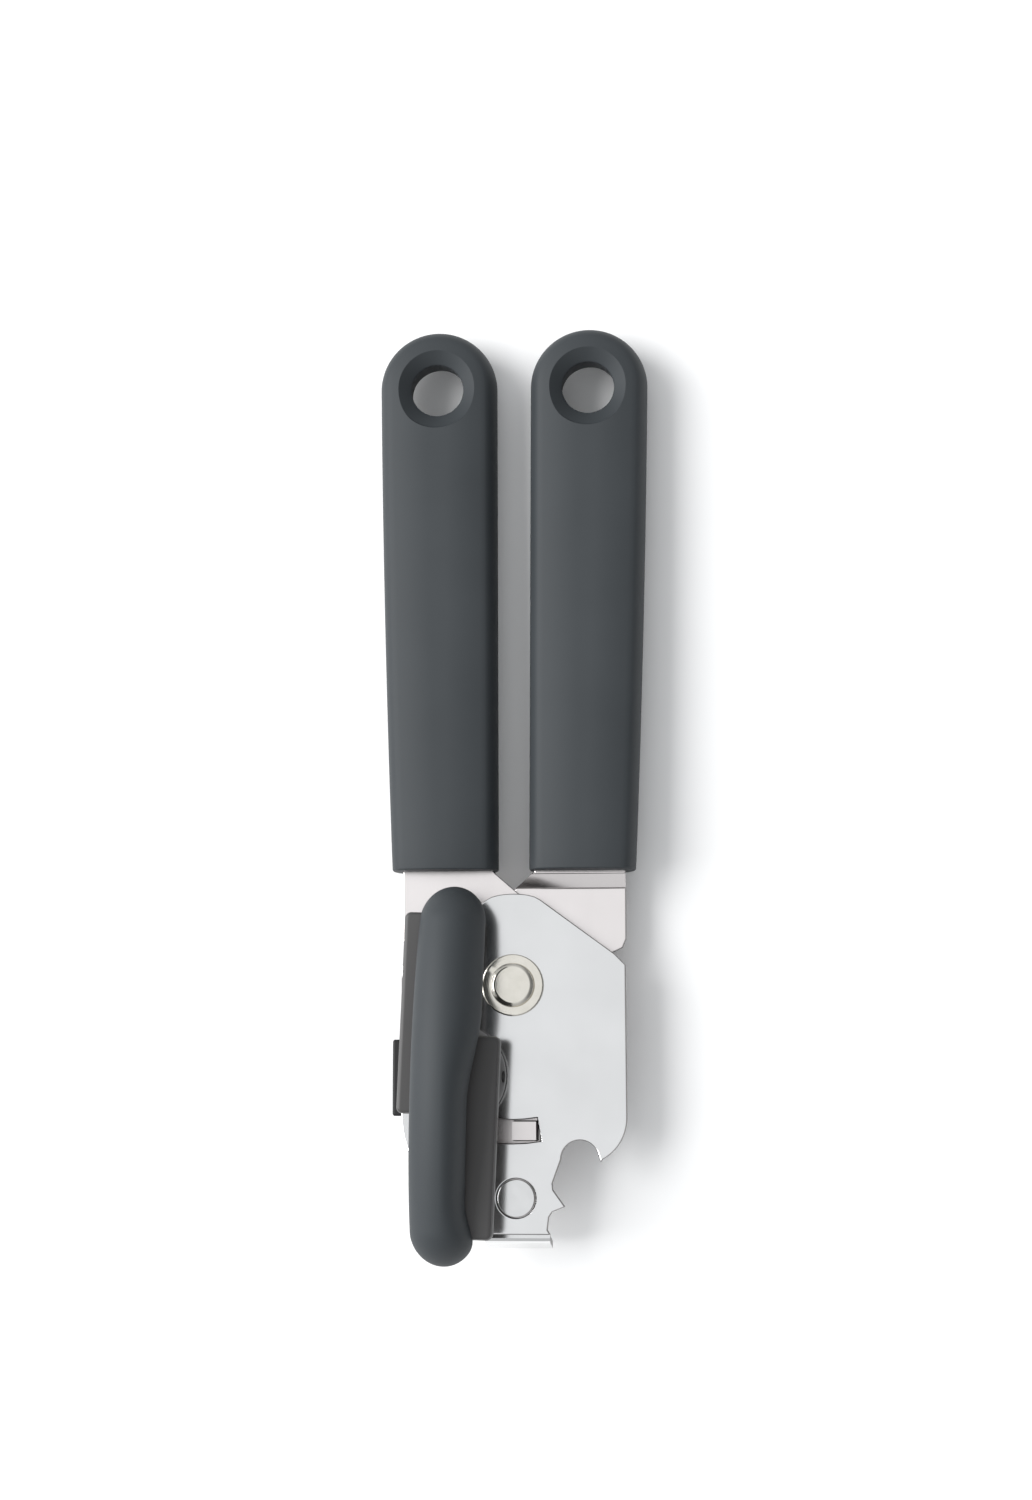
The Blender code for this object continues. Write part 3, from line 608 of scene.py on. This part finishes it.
FLOOR_SLOPE = math.atan2(3.8, 160.0)        # from the rest pad's depth to that of the grip ends
FLOOR_PLACE = (0, -20.0, -12.45)            # a point of the floor level with the rest pad
BACKDROP = 0.95                             # brightness of the dome where the camera sees it
LENS = 66.0
CAMERA_BACK = (0.09, -0.13, 1.0)            # way from the opener to the camera
CAMERA_AWAY = 0.6146                        # metres
LOOK_AT = (0.5, 52.5, 0.0)                  # middle of the picture, from the pivot


def white_floor():
    """Pale floor just under the opener, tipped so that the rest pad and the grip ends both lie
    close to it."""
    bpy.ops.mesh.primitive_plane_add(size=6.0)
    floor = bpy.context.object
    floor.name = "studio_floor"
    floor.rotation_euler = (FLOOR_SLOPE, 0, 0)
    floor.location = PIVOT + Vector(FLOOR_PLACE) * MM
    material, tree, shader = new_material("matte_white_paper", Roughness=0.9)
    fibres = add(tree, "TexNoise", {"Scale": 30.0}, Vector=add(tree, "TexCoord").outputs["Object"])
    tree.links.new(mix_colours(tree, "efefef", "f1f1f1", fibres.outputs["Fac"]),
                   shader.inputs["Base Color"])
    floor.data.materials.append(material)


def area_light(name, place, target, width, height, power):
    data = bpy.data.lights.new(name, "AREA")
    data.shape = "RECTANGLE"
    data.size, data.size_y = width, height
    data.energy = power
    lamp = bpy.data.objects.new(name, data)
    bpy.context.scene.collection.objects.link(lamp)
    lamp.location = place
    direction = Vector(target) - Vector(place)
    lamp.rotation_euler = direction.to_track_quat("-Z", "Y").to_euler()


def studio():
    """Key light from the left under a pale dome, brightest overhead where the flat steel mirrors
    it, and dimmed on the right, which draws the edges of the steel."""
    world = bpy.data.worlds.new("pale_room")
    bpy.context.scene.world = world
    world.use_nodes = True
    tree = world.node_tree
    background = tree.nodes["Background"]
    background.inputs["Color"].default_value = (0.97, 0.985, 1.0, 1.0)
    way = add(tree, "SeparateXYZ", Vector=add(tree, "TexCoord").outputs["Generated"])
    height = add(tree, "MapRange", {"interpolation_type": "SMOOTHSTEP", "From Min": 0.0,
                                    "From Max": 0.85, "To Min": 0.45, "To Max": 0.99},
                 Value=way.outputs["Z"])
    flag = add(tree, "MapRange", {"interpolation_type": "SMOOTHSTEP", "From Min": 0.25,
                                  "From Max": 0.9, "To Min": 1.0, "To Max": 0.35},
               Value=way.outputs["X"])
    strength = add(tree, "Math", {"operation": "MULTIPLY"})
    tree.links.new(height.outputs["Result"], strength.inputs[0])
    tree.links.new(flag.outputs["Result"], strength.inputs[1])
    seen = add(tree, "Math", {"operation": "MULTIPLY"})
    seen.inputs[1].default_value = BACKDROP
    tree.links.new(add(tree, "LightPath").outputs["Is Camera Ray"], seen.inputs[0])
    backdrop = add(tree, "Math", {"operation": "MAXIMUM"})
    tree.links.new(strength.outputs["Value"], backdrop.inputs[0])
    tree.links.new(seen.outputs["Value"], backdrop.inputs[1])
    tree.links.new(backdrop.outputs["Value"], background.inputs["Strength"])
    area_light("key_left", (-2.0, 0.25, 1.65), (0, 0, 0), 2.0, 2.4, 95.0)
    bpy.context.scene.view_settings.view_transform = "Standard"


def camera():
    """Long lens, looking down on the face, a little from the opener's right and lower end."""
    back = Vector(CAMERA_BACK).normalized()
    look = PIVOT + Vector(LOOK_AT) * MM
    data = bpy.data.cameras.new("camera")
    data.sensor_width = 36.0
    data.lens = LENS
    data.clip_start = 0.01
    cam = bpy.data.objects.new("camera", data)
    bpy.context.scene.collection.objects.link(cam)
    right = Vector((0, 1, 0)).cross(back).normalized()
    up = back.cross(right)
    turn = Matrix((right, up, back)).transposed().to_4x4()
    cam.matrix_world = Matrix.Translation(look + back * CAMERA_AWAY) @ turn
    bpy.context.scene.camera = cam


white_floor()
studio()
camera()
